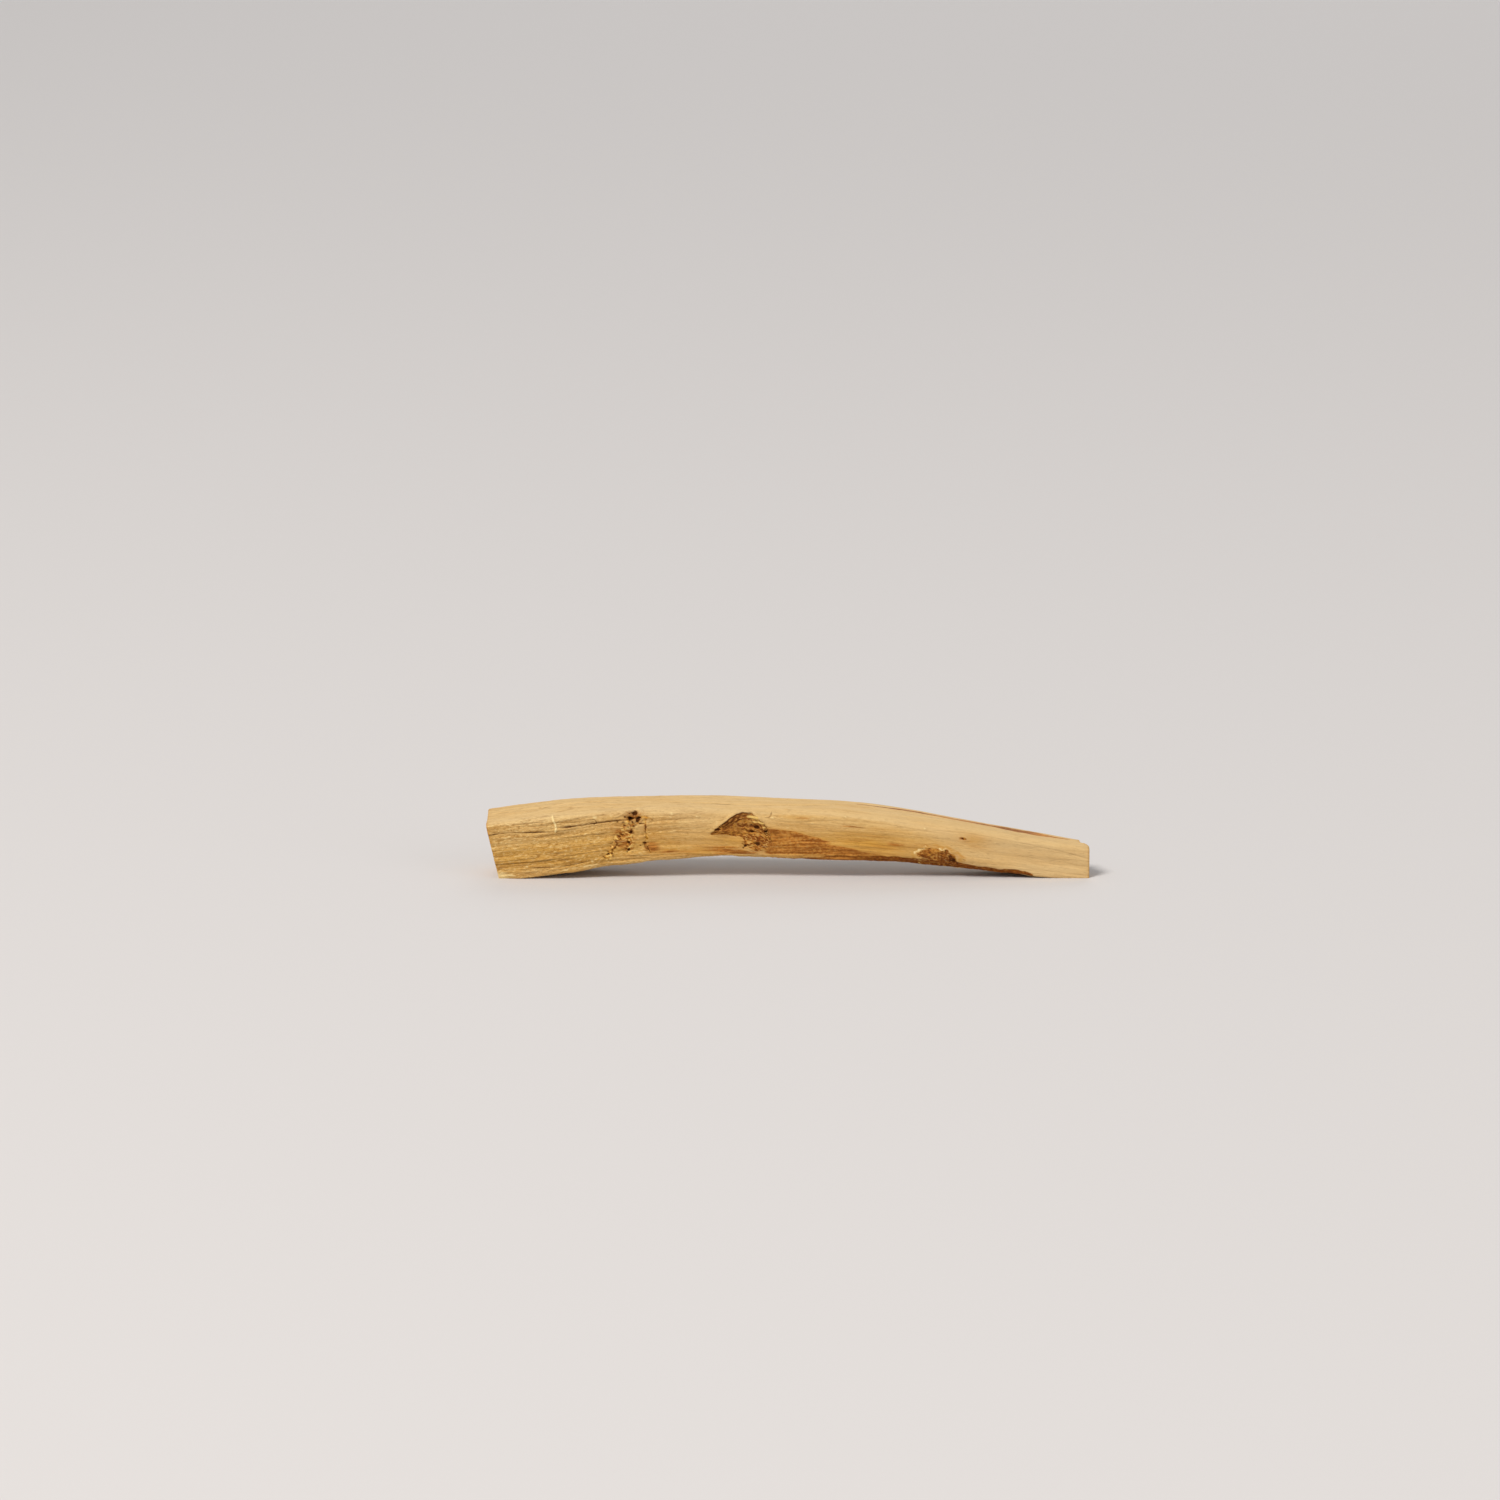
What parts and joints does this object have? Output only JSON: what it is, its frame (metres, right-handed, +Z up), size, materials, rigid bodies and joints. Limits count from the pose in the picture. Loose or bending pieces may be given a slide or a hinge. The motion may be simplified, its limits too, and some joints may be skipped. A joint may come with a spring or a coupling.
{
  "type": "palo santo stick",
  "caption": "Curved split stick of pale scented wood that tapers from a sawn butt to a thin tip, with branch scars and a resin streak, lit or warmed at one end for its smoke.",
  "frame": {"origin": "under the middle of the stick's box, on the surface it rests on", "axes": "+X along the stick from the thick butt to the thin tip, +Y from the front face with the scars to the back, +Z up"},
  "size_m": [0.1, 0.011, 0.0124],
  "materials": {
    "palo_santo_wood": "raw split wood, matt"
  },
  "bodies": {
    "root": {"stick": "palo_santo_wood"}
  },
  "joints": []
}
